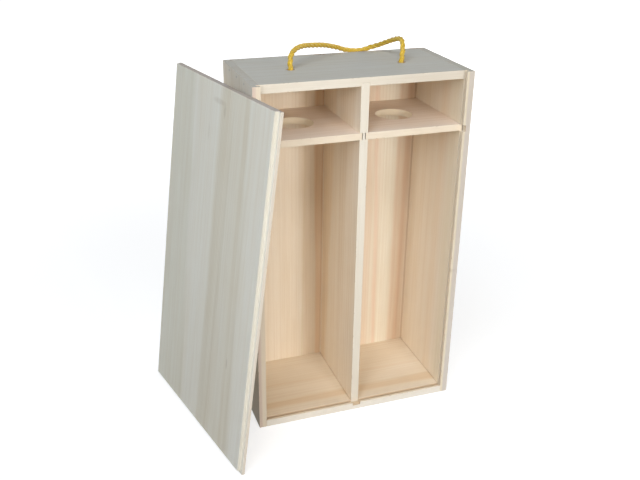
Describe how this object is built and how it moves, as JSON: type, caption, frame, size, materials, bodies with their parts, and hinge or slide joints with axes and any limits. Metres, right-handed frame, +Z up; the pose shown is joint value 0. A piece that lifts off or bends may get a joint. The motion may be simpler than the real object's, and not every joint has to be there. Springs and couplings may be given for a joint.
{
  "type": "wine box",
  "caption": "Upright wooden bottle box with a divider, neck rests with round holes, a rebated sliding lid leaning beside it and a rope handle.",
  "frame": {"origin": "middle of the foot, on the underside of the bottom board", "axes": "+X across the box to the right seen from the open front, +Y from the open front to the back, +Z up"},
  "size_m": [0.2921, 0.2057, 0.3705],
  "materials": {
    "case_wood": "matte",
    "back_wood": "matte",
    "inner_wood": "matte",
    "lid_wood": "matte",
    "rope_yarn": "satin",
    "brad_steel": "satin"
  },
  "bodies": {
    "box": {"side_left": "case_wood", "side_right": "case_wood", "top_panel": "case_wood", "bottom_panel": "case_wood", "back_panel": "back_wood", "divider": "inner_wood", "neck_rest_left": "inner_wood", "neck_rest_right": "inner_wood", "rope_handle": "rope_yarn", "rope_knot_left": "rope_yarn", "rope_knot_right": "rope_yarn", "side_brads_left": "brad_steel", "side_brads_right": "brad_steel", "back_brads": "brad_steel"},
    "lid": {"lid": "lid_wood"}
  },
  "joints": [
    {"name": "lid_lift", "type": "slide", "parent": "box", "child": "lid", "axis": [0, 0, 1], "range_m": [0, 0.36]}
  ]
}
